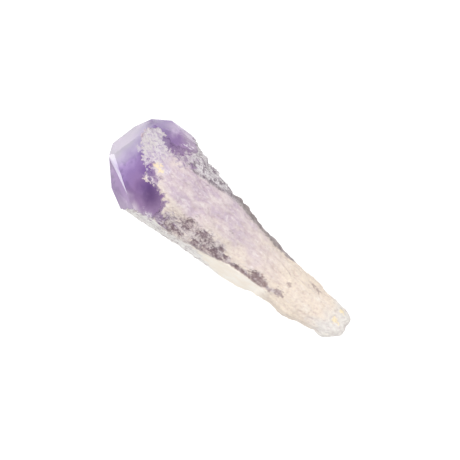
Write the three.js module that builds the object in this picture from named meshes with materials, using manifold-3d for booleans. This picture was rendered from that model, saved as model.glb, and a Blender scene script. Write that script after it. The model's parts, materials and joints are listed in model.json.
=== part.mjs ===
// A raw amethyst point: one quartz crystal lying on its side, as it rests on a table.
// Millimetres, +Z up. +X runs along the crystal to its faceted purple head, -X to its milky
// root tip, and +Y to the side of the smooth cream face. The origin is on the table, under the
// middle of the crystal's box.
import * as THREE from "three";
import { ImprovedNoise } from "three/addons/math/ImprovedNoise.js";
import { mergeVertices } from "three/addons/utils/BufferGeometryUtils.js";
import Module from "manifold-3d";

// The rough stone before its faces are cut: how far its sides reach from the crystal's axis, and
// how high its back stands over the table, from the root tip to past the head.
const STATIONS = [
  { x: -53.6, left: 0.6, right: 4.6, height: 7.2 },
  { x: -51.0, left: 3.6, right: 6.3, height: 9.6 },
  { x: -47.0, left: 5.3, right: 6.9, height: 11.0 },
  { x: -40.0, left: 7.2, right: 7.9, height: 12.2 },
  { x: -36.0, left: 8.0, right: 8.2, height: 12.8 },
  { x: -31.0, left: 7.5, right: 8.1, height: 13.4 },
  { x: -24.0, left: 9.2, right: 8.3, height: 14.6 },
  { x: -19.0, left: 11.4, right: 8.5, height: 15.8 },
  { x: -11.0, left: 12.6, right: 9.3, height: 17.4 },
  { x: -3.0, left: 12.6, right: 10.7, height: 19.0 },
  { x: 5.0, left: 13.6, right: 12.5, height: 21.0 },
  { x: 12.0, left: 14.5, right: 13.7, height: 22.8 },
  { x: 19.0, left: 15.4, right: 15.3, height: 24.6 },
  { x: 27.0, left: 16.8, right: 17.4, height: 25.6 },
  { x: 36.0, left: 18.5, right: 18.5, height: 25.4 },
  { x: 45.0, left: 18.5, right: 18.5, height: 24.0 },
];

// The corners of a cross section, in order round it. side is a share of the reach to that side,
// + to the left, and up is a share of the height. steps divides the way to the next corner, and
// rough is how strongly that way is broken up.
const CORNERS = [
  { side: 1.0, up: 0.44, steps: 6, rough: 0.5 },
  { side: 0.78, up: 0.87, steps: 4, rough: 0.9 },
  { side: 0.3, up: 0.985, steps: 6, rough: 1.0 },
  { side: -0.3, up: 1.0, steps: 6, rough: 1.0 },
  { side: -0.78, up: 0.9, steps: 6, rough: 1.0 },
  { side: -1.0, up: 0.52, steps: 6, rough: 0.9 },
  { side: -0.8, up: 0.12, steps: 3, rough: 0.8 },
  { side: -0.52, up: 0.0, steps: 7, rough: 0.6 },
  { side: 0.48, up: 0.0, steps: 3, rough: 0.6 },
  { side: 0.78, up: 0.12, steps: 6, rough: 0.8 },
];
const MIDDLE = 0.5; // the height of a section's middle, as a share of its own height
const RING_STEP = 1.16; // between the cross sections
const JITTER = { size: 0.35, reach: 0.35 }; // points stray along the crystal, so that no ring shows

// The broken skin, from its broad swells to its scales. Each layer is stretched along the crystal.
const LAYERS = [
  { size: 11.0, depth: 0.95, stretch: 1.5 },
  { size: 4.6, depth: 0.75, stretch: 1.7 },
  { size: 2.4, depth: 0.35, stretch: 1.3 },
];
const LEDGE_HEIGHT = 0.5; // the skin rises in ledges of about this height
const LEDGE_SOFTNESS = 0.45; // the share of a ledge that is its slope
const FLUTE_DEPTH = 0.35; // long grooves that follow the crystal
const FLUTE_WIDTH = 3.4;
const FLUTE_LENGTH = 26;

// Plates of skin on the right flank, which end in a step one behind another. ends are where the
// steps are, and each end leans back by skew for each millimetre up the flank.
const PLATES = { ends: [-8.5, -2.2, 3.0, 9.2, 15.0, 20.0], height: 1.2, skew: 0.35 };

// The broken strip between the great face and the dark one, which lies just under their planes
// and slopes up to them at its sides.
const STRIP = {
  from: [33.6, -7.2],
  to: [16.5, -3.6],
  narrow: 3.3,
  broad: 6.4,
  below: 0.75,
  slope: 0.45,
  rough: 0.5,
};

// Pits on the back, where the skin is missing and the glassy crystal shows.
const PITS = [
  { x: 9.2, y: 9.2, long: 3.2, wide: 1.9, depth: 1.1 },
  { x: 4.6, y: 6.0, long: 2.6, wide: 2.0, depth: 0.9 },
  { x: -2.8, y: 7.3, long: 3.6, wide: 1.8, depth: 1.1 },
  { x: -7.4, y: 6.6, long: 2.8, wide: 1.4, depth: 0.9 },
  { x: -15.4, y: 6.0, long: 3.0, wide: 1.0, depth: 0.8 },
  { x: -21.9, y: 4.6, long: 3.4, wide: 1.7, depth: 1.0 },
  { x: -37.6, y: -5.4, long: 3.2, wide: 1.0, depth: 0.7 },
];

// Flat faces of the crystal, each by three points that it passes through. A face with a span was
// laid bare only between two places along the crystal, and slopes up to the skin at both.
const FACES = [
  { name: "great face", through: [[36, -3.8, 16.5], [38.4, 5.9, 13.2], [13.9, 9.0, 22.6]] },
  { name: "tip face", through: [[36, -3.8, 16.5], [38.4, 5.9, 13.2], [41.1, 3.1, 10]] },
  { name: "left face", through: [[38.4, 5.9, 13.2], [24.7, 12.2, 17.4], [32, 13.4, 9.9]] },
  { name: "bright bevel", through: [[37.6, 5, 13.74], [37.9, 6.9, 12.46], [25.7, 11.74, 17.09]] },
  { name: "left shoulder", through: [[32, 13.4, 9.9], [26.3, 16, 10.5], [24.7, 12.4, 17.4]] },
  { name: "right face", through: [[36.2, -11.6, 16.4], [31.1, -15.5, 11.5], [30.9, -11.8, 18.6]] },
  { name: "right shoulder", through: [[31.1, -15.5, 11.5], [24.0, -16.4, 11], [25.9, -13.9, 18.4]] },
  { name: "dark face", through: [[30.9, -11.8, 18.6], [20, -13.6, 18.8], [24.6, -8.2, 24.2]] },
  { name: "under tip", through: [[39.1, -6.1, 12.9], [41.1, 3.1, 10], [31, 0, 0.5]] },
  { name: "under left", through: [[40.9, 2.6, 10.4], [31.9, 13.3, 9.9], [30.5, 7.4, -0.5]] },
  { name: "under right", through: [[39.1, -6.1, 12.9], [36.2, -11.6, 16.4], [31.3, -15.7, 11.3]] },
  { name: "lower left shoulder", through: [[32, 13.4, 9.9], [26.5, 15.8, 10.2], [24, 9.4, -0.5]] },
  { name: "lower right shoulder", through: [[31.1, -15.6, 11.5], [14, -16.4, 11], [24, -9.6, -0.5]] },
  {
    name: "cream face",
    through: [[-2.4, 9.1, 17.2], [-21, 6.1, 14.0], [-11, 11.4, 7.4]],
    span: [-24.5, 3],
  },
  {
    name: "lower left face",
    through: [[8, 13.9, 7.6], [-18, 10.2, 5.8], [-4, 8.4, 0.2]],
    span: [-30, 30],
  },
  {
    name: "lower right face",
    through: [[6, -12.8, 8.6], [-26, -8.6, 6.2], [-10, -7.2, 0.2]],
    span: [-34, 30],
  },
];
const INSIDE = new THREE.Vector3(0, 0, 8); // a point inside the stone, so that each cut faces out
const CUTTER = 160; // the side of the block that a face is cut with
const SPAN_SLOPE = 0.4; // of the slopes at the ends of a span

// Rounded milky lumps that the root ends in.
const NUBS = [
  { x: -50.9, y: -3.4, z: 4.6, long: 3.9, wide: 3.5, high: 4.4 },
  { x: -49.4, y: 1.1, z: 4.4, long: 4.4, wide: 3.9, high: 4.6 },
  { x: -46.2, y: -4.4, z: 6.6, long: 4.2, wide: 2.8, high: 4.2 },
];
const NUB_DETAIL = 4;
const NUB_BUMPS = { size: 2.8, depth: 0.45 };

const COLOURS = { amethyst: 0xb9a3c9 };

const noise = new ImprovedNoise();
const wasm = await Module();
wasm.setup();

// The value of one column of the stations at a place along the crystal.
function reach(x, column) {
  const last = STATIONS.length - 1;
  const next = THREE.MathUtils.clamp(STATIONS.findIndex((s) => s.x >= x), 1, last);
  const [a, b] = [STATIONS[next - 1], STATIONS[next]];
  const t = THREE.MathUtils.clamp((x - a.x) / (b.x - a.x), 0, 1);
  return THREE.MathUtils.lerp(a[column], b[column], t);
}

function noiseAt(p, layer, seed) {
  return noise.noise(p.x / (layer.size * layer.stretch) + seed, p.y / layer.size, p.z / layer.size);
}

// Turns a smooth slope into flat treads with short risers between them.
function ledges(value) {
  const whole = Math.floor(value / LEDGE_HEIGHT);
  const part = value / LEDGE_HEIGHT - whole;
  const edge = (1 - LEDGE_SOFTNESS) / 2;
  return LEDGE_HEIGHT * (whole + THREE.MathUtils.smoothstep(part, edge, 1 - edge));
}

function flutes(p) {
  const wave = noise.noise(p.x / FLUTE_LENGTH, p.y / FLUTE_WIDTH, p.z / FLUTE_WIDTH + 40);
  return FLUTE_DEPTH * (1 - 4 * Math.abs(wave));
}

// How far the right flank is set back at a point: not at all where a plate ends towards the root,
// and most just behind the next plate's end.
function plates(p) {
  const x = p.x + PLATES.skew * (p.z - MIDDLE * reach(p.x, "height"));
  const behind = PLATES.ends.findLastIndex((end) => end < x);
  if (p.y > 0 || behind < 0 || behind + 1 === PLATES.ends.length) return 0;
  const [from, to] = [PLATES.ends[behind], PLATES.ends[behind + 1]];
  const onFlank = THREE.MathUtils.smoothstep(-p.y / reach(p.x, "right"), 0.7, 0.92);
  return (-PLATES.height * onFlank * (x - from)) / (to - from);
}

function pits(p) {
  let sum = 0;
  for (const pit of PITS) {
    const away = Math.hypot((p.x - pit.x) / pit.long, (p.y - pit.y) / pit.wide);
    if (p.z > MIDDLE * reach(p.x, "height")) {
      sum -= pit.depth * (1 - THREE.MathUtils.smoothstep(away, 0.45, 1.15));
    }
  }
  return sum;
}

// How far the broken skin stands out at a point of the smooth stone.
function relief(p, rough) {
  const swell = LAYERS.reduce((sum, layer, i) => sum + layer.depth * noiseAt(p, layer, 7 * i), 0);
  return rough * (ledges(swell) + flutes(p)) + plates(p) + pits(p);
}

// The height of a flat face's plane over a place on the table.
function planeHeight(face, x, y) {
  const { normal, constant } = planeThrough(face.through);
  return -(constant + normal.x * x + normal.y * y) / normal.z;
}

// Lowers a point of the skin in the broken strip, to just under the faces beside it.
function sinkStrip(p) {
  const [from, to] = [STRIP.from, STRIP.to].map(([x, y]) => new THREE.Vector3(x, y, 0));
  const flat = new THREE.Vector3(p.x, p.y, 0);
  const line = new THREE.Line3(from, to);
  const t = line.closestPointToPointParameter(flat, true);
  const away = line.at(t, new THREE.Vector3()).distanceTo(flat);
  const width = THREE.MathUtils.lerp(STRIP.narrow, STRIP.broad, t);
  if (p.z < MIDDLE * reach(p.x, "height")) return;
  const [great, dark] = ["great face", "dark face"].map((name) => FACES.find((f) => f.name === name));
  const roof = Math.min(planeHeight(great, p.x, p.y), planeHeight(dark, p.x, p.y));
  const side = Math.max(STRIP.slope * (away - width), -STRIP.below);
  p.z = Math.min(p.z, roof + side + relief(p, STRIP.rough));
}

// The corner of a cross section, on the smooth stone.
function cornerAt(x, corner) {
  const width = corner.side > 0 ? reach(x, "left") : reach(x, "right");
  return new THREE.Vector3(x, corner.side * width, corner.up * reach(x, "height"));
}

// One cross section as a ring of points on the broken skin.
function ring(x) {
  const middle = new THREE.Vector3(x, 0, MIDDLE * reach(x, "height"));
  const points = [];
  CORNERS.forEach((corner, i) => {
    const following = CORNERS[(i + 1) % CORNERS.length];
    const [from, to] = [cornerAt(x, corner), cornerAt(x, following)];
    for (let step = 0; step < corner.steps; step += 1) {
      const t = step / corner.steps;
      const p = from.clone().lerp(to, t);
      const rough = THREE.MathUtils.lerp(corner.rough, following.rough, t);
      const outward = p.clone().sub(middle).normalize();
      p.x += JITTER.reach * noise.noise(p.x / JITTER.size, p.y, p.z);
      p.addScaledVector(outward, relief(p, rough));
      sinkStrip(p);
      points.push(p);
    }
  });
  return points;
}

// A closed skin over rings of equally many points, each end closed to its middle.
function skinOver(rings) {
  const around = rings[0].length;
  const positions = rings.flat();
  const index = [];
  for (let i = 0; i + 1 < rings.length; i += 1) {
    for (let j = 0; j < around; j += 1) {
      const next = (j + 1) % around;
      const [a, b] = [i * around + j, i * around + next];
      const [c, d] = [a + around, b + around];
      index.push(...((i + j) % 2 ? [a, b, c, b, d, c] : [a, b, d, a, d, c]));
    }
  }
  [0, rings.length - 1].forEach((i) => {
    const centre = rings[i].reduce((sum, p) => sum.add(p), new THREE.Vector3());
    positions.push(centre.divideScalar(around));
    for (let j = 0; j < around; j += 1) {
      const [a, b] = [i * around + j, i * around + ((j + 1) % around)];
      index.push(...(i === 0 ? [b, a] : [a, b]), positions.length - 1);
    }
  });
  return new THREE.BufferGeometry().setFromPoints(positions).setIndex(index);
}

// A closed geometry as a solid that can be joined and cut.
function solid(geometry) {
  const bare = geometry.clone();
  bare.deleteAttribute("normal");
  bare.deleteAttribute("uv");
  const merged = mergeVertices(bare);
  return new wasm.Manifold(
    new wasm.Mesh({
      numProp: 3,
      vertProperties: merged.attributes.position.array,
      triVerts: new Uint32Array(merged.index.array),
    }),
  );
}

// The plane through three points, with the inside of the stone behind it.
function planeThrough(points) {
  const plane = new THREE.Plane().setFromCoplanarPoints(...points.map((v) => new THREE.Vector3(...v)));
  return plane.distanceToPoint(INSIDE) > 0 ? plane.negate() : plane;
}

// A block that stands on the plane through a point, on the side that the normal points to.
function blockOn(point, normal) {
  const turn = new THREE.Quaternion().setFromUnitVectors(new THREE.Vector3(0, 0, 1), normal);
  const block = new THREE.BoxGeometry(CUTTER, CUTTER, CUTTER).translate(0, 0, CUTTER / 2);
  return solid(block.applyQuaternion(turn).translate(point.x, point.y, point.z));
}

// The room outside a flat face, all along the stone or only where the face spans.
function outside({ through, span = [] }) {
  const { normal } = planeThrough(through);
  const start = new THREE.Vector3(...through[0]);
  const along = new THREE.Vector3(1, 0, 0).projectOnPlane(normal);
  let room = blockOn(start, normal);
  span.forEach((end, i) => {
    const corner = start.clone().addScaledVector(along, (end - start.x) / along.x);
    const inward = new THREE.Vector3(i === 0 ? 1 : -1, 0, 0);
    const wall = inward.multiplyScalar(SPAN_SLOPE).add(normal).normalize();
    room = room.intersect(blockOn(corner, wall));
  });
  return room;
}

function nub(n) {
  const ball = new THREE.IcosahedronGeometry(1, NUB_DETAIL).scale(n.long, n.wide, n.high);
  ball.translate(n.x, n.y, n.z);
  const centre = new THREE.Vector3(n.x, n.y, n.z);
  const place = ball.attributes.position;
  const p = new THREE.Vector3();
  for (let i = 0; i < place.count; i += 1) {
    p.fromBufferAttribute(place, i);
    const bump = NUB_BUMPS.depth * noiseAt(p, { size: NUB_BUMPS.size, stretch: 1 }, 3);
    p.addScaledVector(p.clone().sub(centre).normalize(), bump);
    place.setXYZ(i, p.x, p.y, p.z);
  }
  return solid(ball);
}

function roughStone() {
  const from = STATIONS[0].x;
  const length = STATIONS[STATIONS.length - 1].x - from;
  const count = Math.round(length / RING_STEP);
  const rings = Array.from({ length: count + 1 }, (_, i) => ring(from + (length * i) / count));
  return solid(skinOver(rings));
}

function crystal() {
  let stone = roughStone();
  for (const n of NUBS) stone = stone.add(nub(n));
  for (const face of FACES) stone = stone.subtract(outside(face));
  return stone.subtract(outside({ through: [[0, 0, 0], [1, 0, 0], [0, 1, 0]] }));
}

// The solid as a mesh's geometry, with the middle of its box over the origin.
function geometryOf(made) {
  const { vertProperties, triVerts } = made.getMesh();
  const geometry = new THREE.BufferGeometry();
  geometry.setAttribute("position", new THREE.BufferAttribute(vertProperties, 3));
  geometry.setIndex(new THREE.BufferAttribute(triVerts, 1));
  geometry.computeBoundingBox();
  const { min, max } = geometry.boundingBox;
  geometry.translate(-(min.x + max.x) / 2, -(min.y + max.y) / 2, -min.z);
  geometry.computeVertexNormals();
  return geometry;
}

const material = new THREE.MeshStandardMaterial({
  color: COLOURS.amethyst,
  roughness: 0.55,
  metalness: 0,
});
const point = new THREE.Mesh(geometryOf(crystal()), material);
point.name = "amethyst_point";
const part = new THREE.Group();
part.add(point);

export default part;
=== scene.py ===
# %% [markdown]
# # A raw amethyst point
# An amethyst point is one crystal of quartz. It grew out of the wall of a hollow in the rock, root
# first, and only its head had room for flat, glassy faces. The root kept a rough pale crust. This
# lesson starts from the measured solid of the stone, breaks up its crust, cuts its faces true
# again, and then makes one material that is clear glass in one place and matte crust in another.

# %% Load the measured part
import json
import math

import bpy
import numpy as np
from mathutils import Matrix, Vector, kdtree, noise

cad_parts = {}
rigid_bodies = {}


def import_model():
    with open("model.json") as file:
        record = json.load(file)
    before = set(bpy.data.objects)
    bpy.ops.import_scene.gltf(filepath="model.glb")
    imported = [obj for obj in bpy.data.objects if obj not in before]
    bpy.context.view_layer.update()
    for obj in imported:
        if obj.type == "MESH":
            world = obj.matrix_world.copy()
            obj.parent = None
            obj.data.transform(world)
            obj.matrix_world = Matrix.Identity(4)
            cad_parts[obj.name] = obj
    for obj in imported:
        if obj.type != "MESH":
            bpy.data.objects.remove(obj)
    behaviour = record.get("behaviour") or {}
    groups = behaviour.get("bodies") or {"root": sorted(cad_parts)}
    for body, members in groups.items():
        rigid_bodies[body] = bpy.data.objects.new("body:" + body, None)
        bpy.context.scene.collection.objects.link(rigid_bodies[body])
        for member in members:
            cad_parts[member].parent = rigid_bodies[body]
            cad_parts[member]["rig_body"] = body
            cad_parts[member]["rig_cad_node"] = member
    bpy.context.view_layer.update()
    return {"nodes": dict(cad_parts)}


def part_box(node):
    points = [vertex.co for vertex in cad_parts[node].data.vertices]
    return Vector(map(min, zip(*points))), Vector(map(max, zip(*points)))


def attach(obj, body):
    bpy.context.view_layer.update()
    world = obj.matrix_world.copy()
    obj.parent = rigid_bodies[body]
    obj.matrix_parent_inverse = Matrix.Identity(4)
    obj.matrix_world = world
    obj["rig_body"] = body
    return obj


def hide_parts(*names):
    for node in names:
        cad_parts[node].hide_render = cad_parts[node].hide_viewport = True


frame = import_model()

CAD_NODE = "amethyst_point"
MM = 0.001
cad_low, cad_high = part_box(CAD_NODE)
print("length, width and height in mm:", [round(side / MM, 1) for side in cad_high - cad_low])

# %% [markdown]
# ## Camera, light and ground
# The stone lies on a white ground and is seen from straight above, with its head at the upper
# left. A long lens keeps the view flat, as in a photograph of a small thing taken from far away.
# The ground is a sheet of white acrylic with a faint glow of its own, as on a light table, so
# that light also comes up through the clear parts of the crystal.

# %% A camera straight above
VIEW_WIDTH = 147.2 * MM  # what the frame shows from side to side, at the height of the stone
LENS = 135.0
SENSOR = 36.0
VIEW_CENTRE = Vector((1.23, -1.6, 12.0)) * MM
PICTURE_UP = Vector((0.6603, -0.7510, 0.0))  # the way on the ground that is up in the picture
CLIP_START = 10 * MM

camera_data = bpy.data.cameras.new("camera")
camera_data.lens = LENS
camera_data.sensor_width = SENSOR
camera_data.clip_start = CLIP_START
camera = bpy.data.objects.new("camera", camera_data)
bpy.context.scene.collection.objects.link(camera)
distance = VIEW_WIDTH * LENS / SENSOR
camera.location = VIEW_CENTRE + Vector((0, 0, distance))
camera.rotation_euler = (0, 0, math.atan2(-PICTURE_UP.x, PICTURE_UP.y))
bpy.context.scene.camera = camera
print("camera height in mm:", round(camera.location.z / MM))

# %% Soft studio light
WHITE_LIGHT = (1.0, 1.0, 1.0, 1.0)
WORLD_STRENGTH = 0.52
LAMPS = [
    {"name": "overhead_softbox", "place": (0.1, -0.1, 0.9), "side": 0.9, "power": 7.6},
    {"name": "low_softbox", "place": (0.65, 0.61, 0.2), "side": 0.35, "power": 0.8},
]


def add_lamp(name, place, side, power):
    data = bpy.data.lights.new(name, "AREA")
    data.shape = "SQUARE"
    data.size = side
    data.energy = power
    lamp = bpy.data.objects.new(name, data)
    bpy.context.scene.collection.objects.link(lamp)
    lamp.location = place
    lamp.rotation_euler = (-Vector(place)).to_track_quat("-Z", "Y").to_euler()


for lamp in LAMPS:
    add_lamp(**lamp)
world = bpy.data.worlds.new("studio")
bpy.context.scene.world = world
world.use_nodes = True
background = world.node_tree.nodes["Background"]
background.inputs["Strength"].default_value = WORLD_STRENGTH
background.inputs["Color"].default_value = WHITE_LIGHT
bpy.context.scene.view_settings.view_transform = "Standard"
print("lamps:", [lamp["name"] for lamp in LAMPS])


# %% Colours and nodes
def linear(colour):
    """An sRGB hex colour as the linear colour that the shader works in."""
    parts = [int(colour[i : i + 2], 16) / 255 for i in (1, 3, 5)]
    return [c / 12.92 if c <= 0.04045 else ((c + 0.055) / 1.055) ** 2.4 for c in parts] + [1.0]


def new_material(name):
    material = bpy.data.materials.new(name)
    material.use_nodes = True
    return material, material.node_tree, material.node_tree.nodes["Principled BSDF"]


def add_node(tree, kind, settings=(), links=(), stops=()):
    """Adds a node, sets its properties or sockets, links its sockets to outputs, and fills a ramp."""
    made = tree.nodes.new(kind)
    for key, value in dict(settings).items():
        if isinstance(key, str) and hasattr(made, key):
            setattr(made, key, value)
        else:
            made.inputs[key].default_value = value
    for key, output in dict(links).items():
        tree.links.new(output, made.inputs[key])
    for i, (position, colour) in enumerate(stops):
        stop = made.color_ramp.elements[i] if i < 2 else made.color_ramp.elements.new(position)
        stop.position = position
        stop.color = linear(colour)
    return made


print("a middle grey in linear light:", round(linear("#808080")[0], 3))

# %% The white ground
GROUND_SIDE = 3.0
GROUND_COLOUR = "#8c8c8c"
GROUND_ROUGH = 0.6
GROUND_SHINE = 0.1
GROUND_GLOW = 0.9

bpy.ops.mesh.primitive_plane_add(size=GROUND_SIDE, location=(0, 0, 0))
ground = bpy.context.active_object
ground.name = "ground"
ground_material, _, ground_shader = new_material("white_acrylic_light_table")
ground_shader.inputs["Base Color"].default_value = linear(GROUND_COLOUR)
ground_shader.inputs["Roughness"].default_value = GROUND_ROUGH
ground_shader.inputs["Specular IOR Level"].default_value = GROUND_SHINE
ground_shader.inputs["Emission Color"].default_value = WHITE_LIGHT
ground_shader.inputs["Emission Strength"].default_value = GROUND_GLOW
ground.data.materials.append(ground_material)
print("ground side in m:", GROUND_SIDE)

# %% [markdown]
# ## The stone, from the measured solid
# The measured solid has the stone's outline, its flat faces and its larger lumps, but with facets
# of about a millimetre. A merged copy of it is remeshed to a fine even skin, on which a crust can
# be worked. The flat faces are looked up in the solid first, because the remesh rounds their
# edges and they are cut again later.

# %% Copy the solid
SAME_CORNER = 0.001 * MM  # corners nearer than this are one


def pick(piece):
    bpy.ops.object.select_all(action="DESELECT")
    piece.select_set(True)
    bpy.context.view_layer.objects.active = piece


def copy_of(source, name):
    pick(source)
    bpy.ops.object.duplicate()
    made = bpy.context.active_object
    made.name = name
    made.parent = None
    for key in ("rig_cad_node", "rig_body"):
        if key in made:
            del made[key]
    made.data.materials.clear()
    return made


crystal = copy_of(frame["nodes"][CAD_NODE], "amethyst_crystal")
bpy.ops.object.mode_set(mode="EDIT")
bpy.ops.mesh.select_all(action="SELECT")
bpy.ops.mesh.remove_doubles(threshold=SAME_CORNER)
bpy.ops.object.mode_set(mode="OBJECT")
print("corners in the solid:", len(crystal.data.vertices))

# %% Find the flat faces
FLAT_WITHIN = math.radians(0.4)
FACE_AREA = 9.0 * MM**2  # the smallest flat face that counts
HEAD_FROM = 28.0 * MM  # the glassy faces have their middles beyond this place
RESTING = -0.99  # a face whose normal has less than this upwards is one that the stone rests on

merged = copy_of(crystal, "face_pattern")
bpy.ops.object.mode_set(mode="EDIT")
bpy.ops.mesh.select_all(action="SELECT")
bpy.ops.mesh.dissolve_limited(angle_limit=FLAT_WITHIN)
bpy.ops.object.mode_set(mode="OBJECT")
flats = [(p.center.copy(), p.normal.copy()) for p in merged.data.polygons if p.area > FACE_AREA]
glassy = [(c, n) for c, n in flats if c.x > HEAD_FROM and n.z > RESTING]
matte = [(c, n) for c, n in flats if c.x <= HEAD_FROM and n.z > RESTING]
bpy.data.objects.remove(merged)
print("glassy faces:", len(glassy), "matte flat faces:", len(matte))
for centre, normal in glassy + matte:
    print("  face at", [round(v / MM, 1) for v in centre], "looks", [round(v, 2) for v in normal])

# %% Remesh to a fine skin
SKIN_GRAIN = 0.28 * MM

remesh = crystal.modifiers.new("fine_skin", "REMESH")
remesh.mode = "VOXEL"
remesh.voxel_size = SKIN_GRAIN
pick(crystal)
bpy.ops.object.modifier_apply(modifier=remesh.name)
print("points on the skin:", len(crystal.data.vertices))


# %% Read and write the skin's points
def places_of(piece):
    places = np.empty(len(piece.data.vertices) * 3, np.float32)
    piece.data.vertices.foreach_get("co", places)
    return places.reshape(-1, 3).astype(float)


def normals_of(piece):
    normals = np.empty(len(piece.data.vertices) * 3, np.float32)
    piece.data.vertices.foreach_get("normal", normals)
    return normals.reshape(-1, 3).astype(float)


def set_places(piece, places):
    piece.data.vertices.foreach_set("co", places.astype(np.float32).ravel())
    piece.data.update()


def spread(piece, values, rounds):
    """Evens values out over the skin, a ring of neighbours at a time."""
    edges = np.empty(len(piece.data.edges) * 2, np.int32)
    piece.data.edges.foreach_get("vertices", edges)
    one, other = edges.reshape(-1, 2).T
    count = np.bincount(one, minlength=len(values)) + np.bincount(other, minlength=len(values))
    for _ in range(rounds):
        total = np.bincount(one, values[other], len(values)) + np.bincount(other, values[one], len(values))
        values = 0.5 * values + 0.5 * total / np.maximum(count, 1)
    return values


print("height of the skin in mm:", round(float(places_of(crystal)[:, 2].max()) / MM, 2))

# %% [markdown]
# ## Where the crust is thin or missing
# Some places on this stone differ from the rest of its crust. Along the left flank runs a band
# where the pale crust has flaked off and the grey inside shows, with dark pits in it and a sharp
# ledge below it. Along the right flank lies a strip of small broken crystals, half clear, which
# goes on towards the root as a worn dark edge. A tongue of crust reaches up the head between its
# faces. The foot of the head's left side is milky, and the flank behind it is smooth and cream.
# Each place is a line with a width, the ground beside a line, or a round blot. Lines and blots are
# few numbers, and noise breaks their borders up, so nothing has to be painted by hand. All these
# numbers are millimetres, except where a comment says otherwise.

# %% Noise, steps and lines
SOFTNESS = 0.6  # how much weaker each finer layer of the noise is
FINER = 2.1  # how much finer each layer is than the last
LAYERS = 4
RAGGED = {"size": 1.8, "seed": 0.0}
FINE = {"size": 0.8, "seed": 60.0}
LUMPS = {"size": 7.0, "seed": 20.0}


def smoothstep(value, low, high):
    t = np.clip((value - low) / (high - low), 0.0, 1.0)
    return t * t * (3 - 2 * t)


def between(value, rise, fall):
    """0 before the rise, 1 from its end to the start of the fall, and 0 after the fall."""
    return smoothstep(value, *rise) * (1 - smoothstep(value, *fall))


def ragged_edge(places, size, seed):
    """Noise with lumps of a size in millimetres, about 0 in the middle and 1 at its highest."""
    shift = Vector((seed, seed, seed))
    spots = [Vector(place) / (size * MM) + shift for place in places]
    return np.array([noise.fractal(spot, SOFTNESS, FINER, LAYERS) for spot in spots])


def noises_at(places):
    """The three noises that fray the places: ragged, fine, and in large lumps."""
    return [ragged_edge(places, **kind) for kind in (RAGGED, FINE, LUMPS)]


def beside(places, line):
    """How far each point lies to the +Y side of a line, in millimetres."""
    return places[:, 1] / MM - np.interp(places[:, 0] / MM, [p[0] for p in line], [p[1] for p in line])


print("a soft step at a quarter, half and three quarters:", smoothstep(np.array([0.25, 0.5, 0.75]), 0, 1))

# %% Round blots
TOP_FROM = 6.0  # blots and the flaked band lie above this height
DRAWN_OUT = 1.5
BLOT_FRAY = 0.9
BLOT_BORDER = (0.5, 1.1)  # in shares of a blot's size


def blots_at(places, blots, noise_there):
    """Round blots drawn out a little along the crystal, 1 in their middles."""
    found = np.zeros(len(places))
    for x, y, size in blots:
        away = np.hypot((places[:, 0] / MM - x) / DRAWN_OUT, places[:, 1] / MM - y) / size
        found = np.maximum(found, 1 - smoothstep(away + BLOT_FRAY * noise_there, *BLOT_BORDER))
    return found * (places[:, 2] / MM > TOP_FROM)


high = places_of(crystal)[:, 2] / MM > TOP_FROM
print("share of the skin that is high enough for blots:", round(float(high.mean()), 2))

# %% The flaked band and its pits
# The band, root to head: place along the stone, its middle, half its width.
FLAKED = [(-25.5, 3.4, 0.3), (-23.4, 3.2, 1.1), (-20.5, 4.6, 0.6), (-17.0, 4.3, 1.5), (-14.3, 4.4, 1.5),
          (-12.6, 5.7, 0.6), (-8.0, 6.1, 0.9), (-6.0, 6.2, 0.5), (-3.3, 6.2, 1.4), (0.0, 5.8, 2.8),
          (5.6, 6.5, 3.4), (9.0, 6.9, 3.4), (12.0, 7.5, 3.8), (16.0, 8.9, 3.0), (19.2, 9.5, 2.6),
          (22.0, 10.4, 1.6), (27.0, 11.4, 0.7)]
FLAKED_FRAY = 0.9
FLAKED_BORDER = (0.6, 1.2)  # in shares of half the width
# Dark pits in it and near it, and like every blot: place along the stone, place across it, size.
PITS = [(17.0, 10.1, 1.4), (15.2, 10.0, 1.0), (12.9, 9.9, 1.0), (12.4, 6.1, 1.7), (11.9, 4.8, 1.0),
        (5.8, 5.4, 1.9), (4.0, 5.1, 1.2), (6.7, 8.7, 1.3), (3.2, 7.8, 1.5), (0.5, 7.1, 1.4),
        (-0.7, 4.8, 0.9), (-3.5, 5.9, 0.9), (-8.0, 6.1, 1.0), (-10.4, 5.9, 0.8), (-12.8, 5.7, 0.6),
        (-14.3, 4.0, 1.4), (-16.1, 4.1, 1.6), (-18.3, 4.3, 1.0), (8.1, 9.6, 0.6), (4.2, 9.2, 0.6),
        (0.8, 8.3, 0.6), (-2.7, 7.2, 0.5)]


def flaked_at(places, ragged):
    along = places[:, 0] / MM
    width = np.interp(along, [p[0] for p in FLAKED], [p[2] for p in FLAKED])
    across = np.abs(beside(places, FLAKED)) / width
    inside = (along > FLAKED[0][0]) & (along < FLAKED[-1][0]) & (places[:, 2] / MM > TOP_FROM)
    return (1 - smoothstep(across + FLAKED_FRAY * ragged, *FLAKED_BORDER)) * inside


print("stations of the band:", len(FLAKED), "pits:", len(PITS))

# %% The ledge below the band, and the smooth cream flank below the ledge
CREAM_EDGE = [(-26.0, 5.0), (-20.1, 5.3), (-17.0, 5.8), (-9.8, 6.3), (-5.9, 6.7), (-2.7, 7.9),
              (0.8, 8.8), (4.2, 9.7), (8.1, 10.2), (10.7, 11.4)]
LEDGE = {"fray": 0.15, "border": (-0.2, 0.1), "ends": (9.0, 13.0)}
LINE = {"below": 0.3, "fray": 0.3, "border": (0.1, 0.5), "starts": (-20.0, -15.0), "ends": (8.0, 12.0)}
CREAMY_AT = {"fray": 0.25, "border": (-0.1, 0.3), "starts": (-26.0, -18.0), "ends": (3.0, 8.0),
             "heights": (1.0, 3.0)}
LUMPY = 5.0  # how far the large lumps of noise move a border


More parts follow.
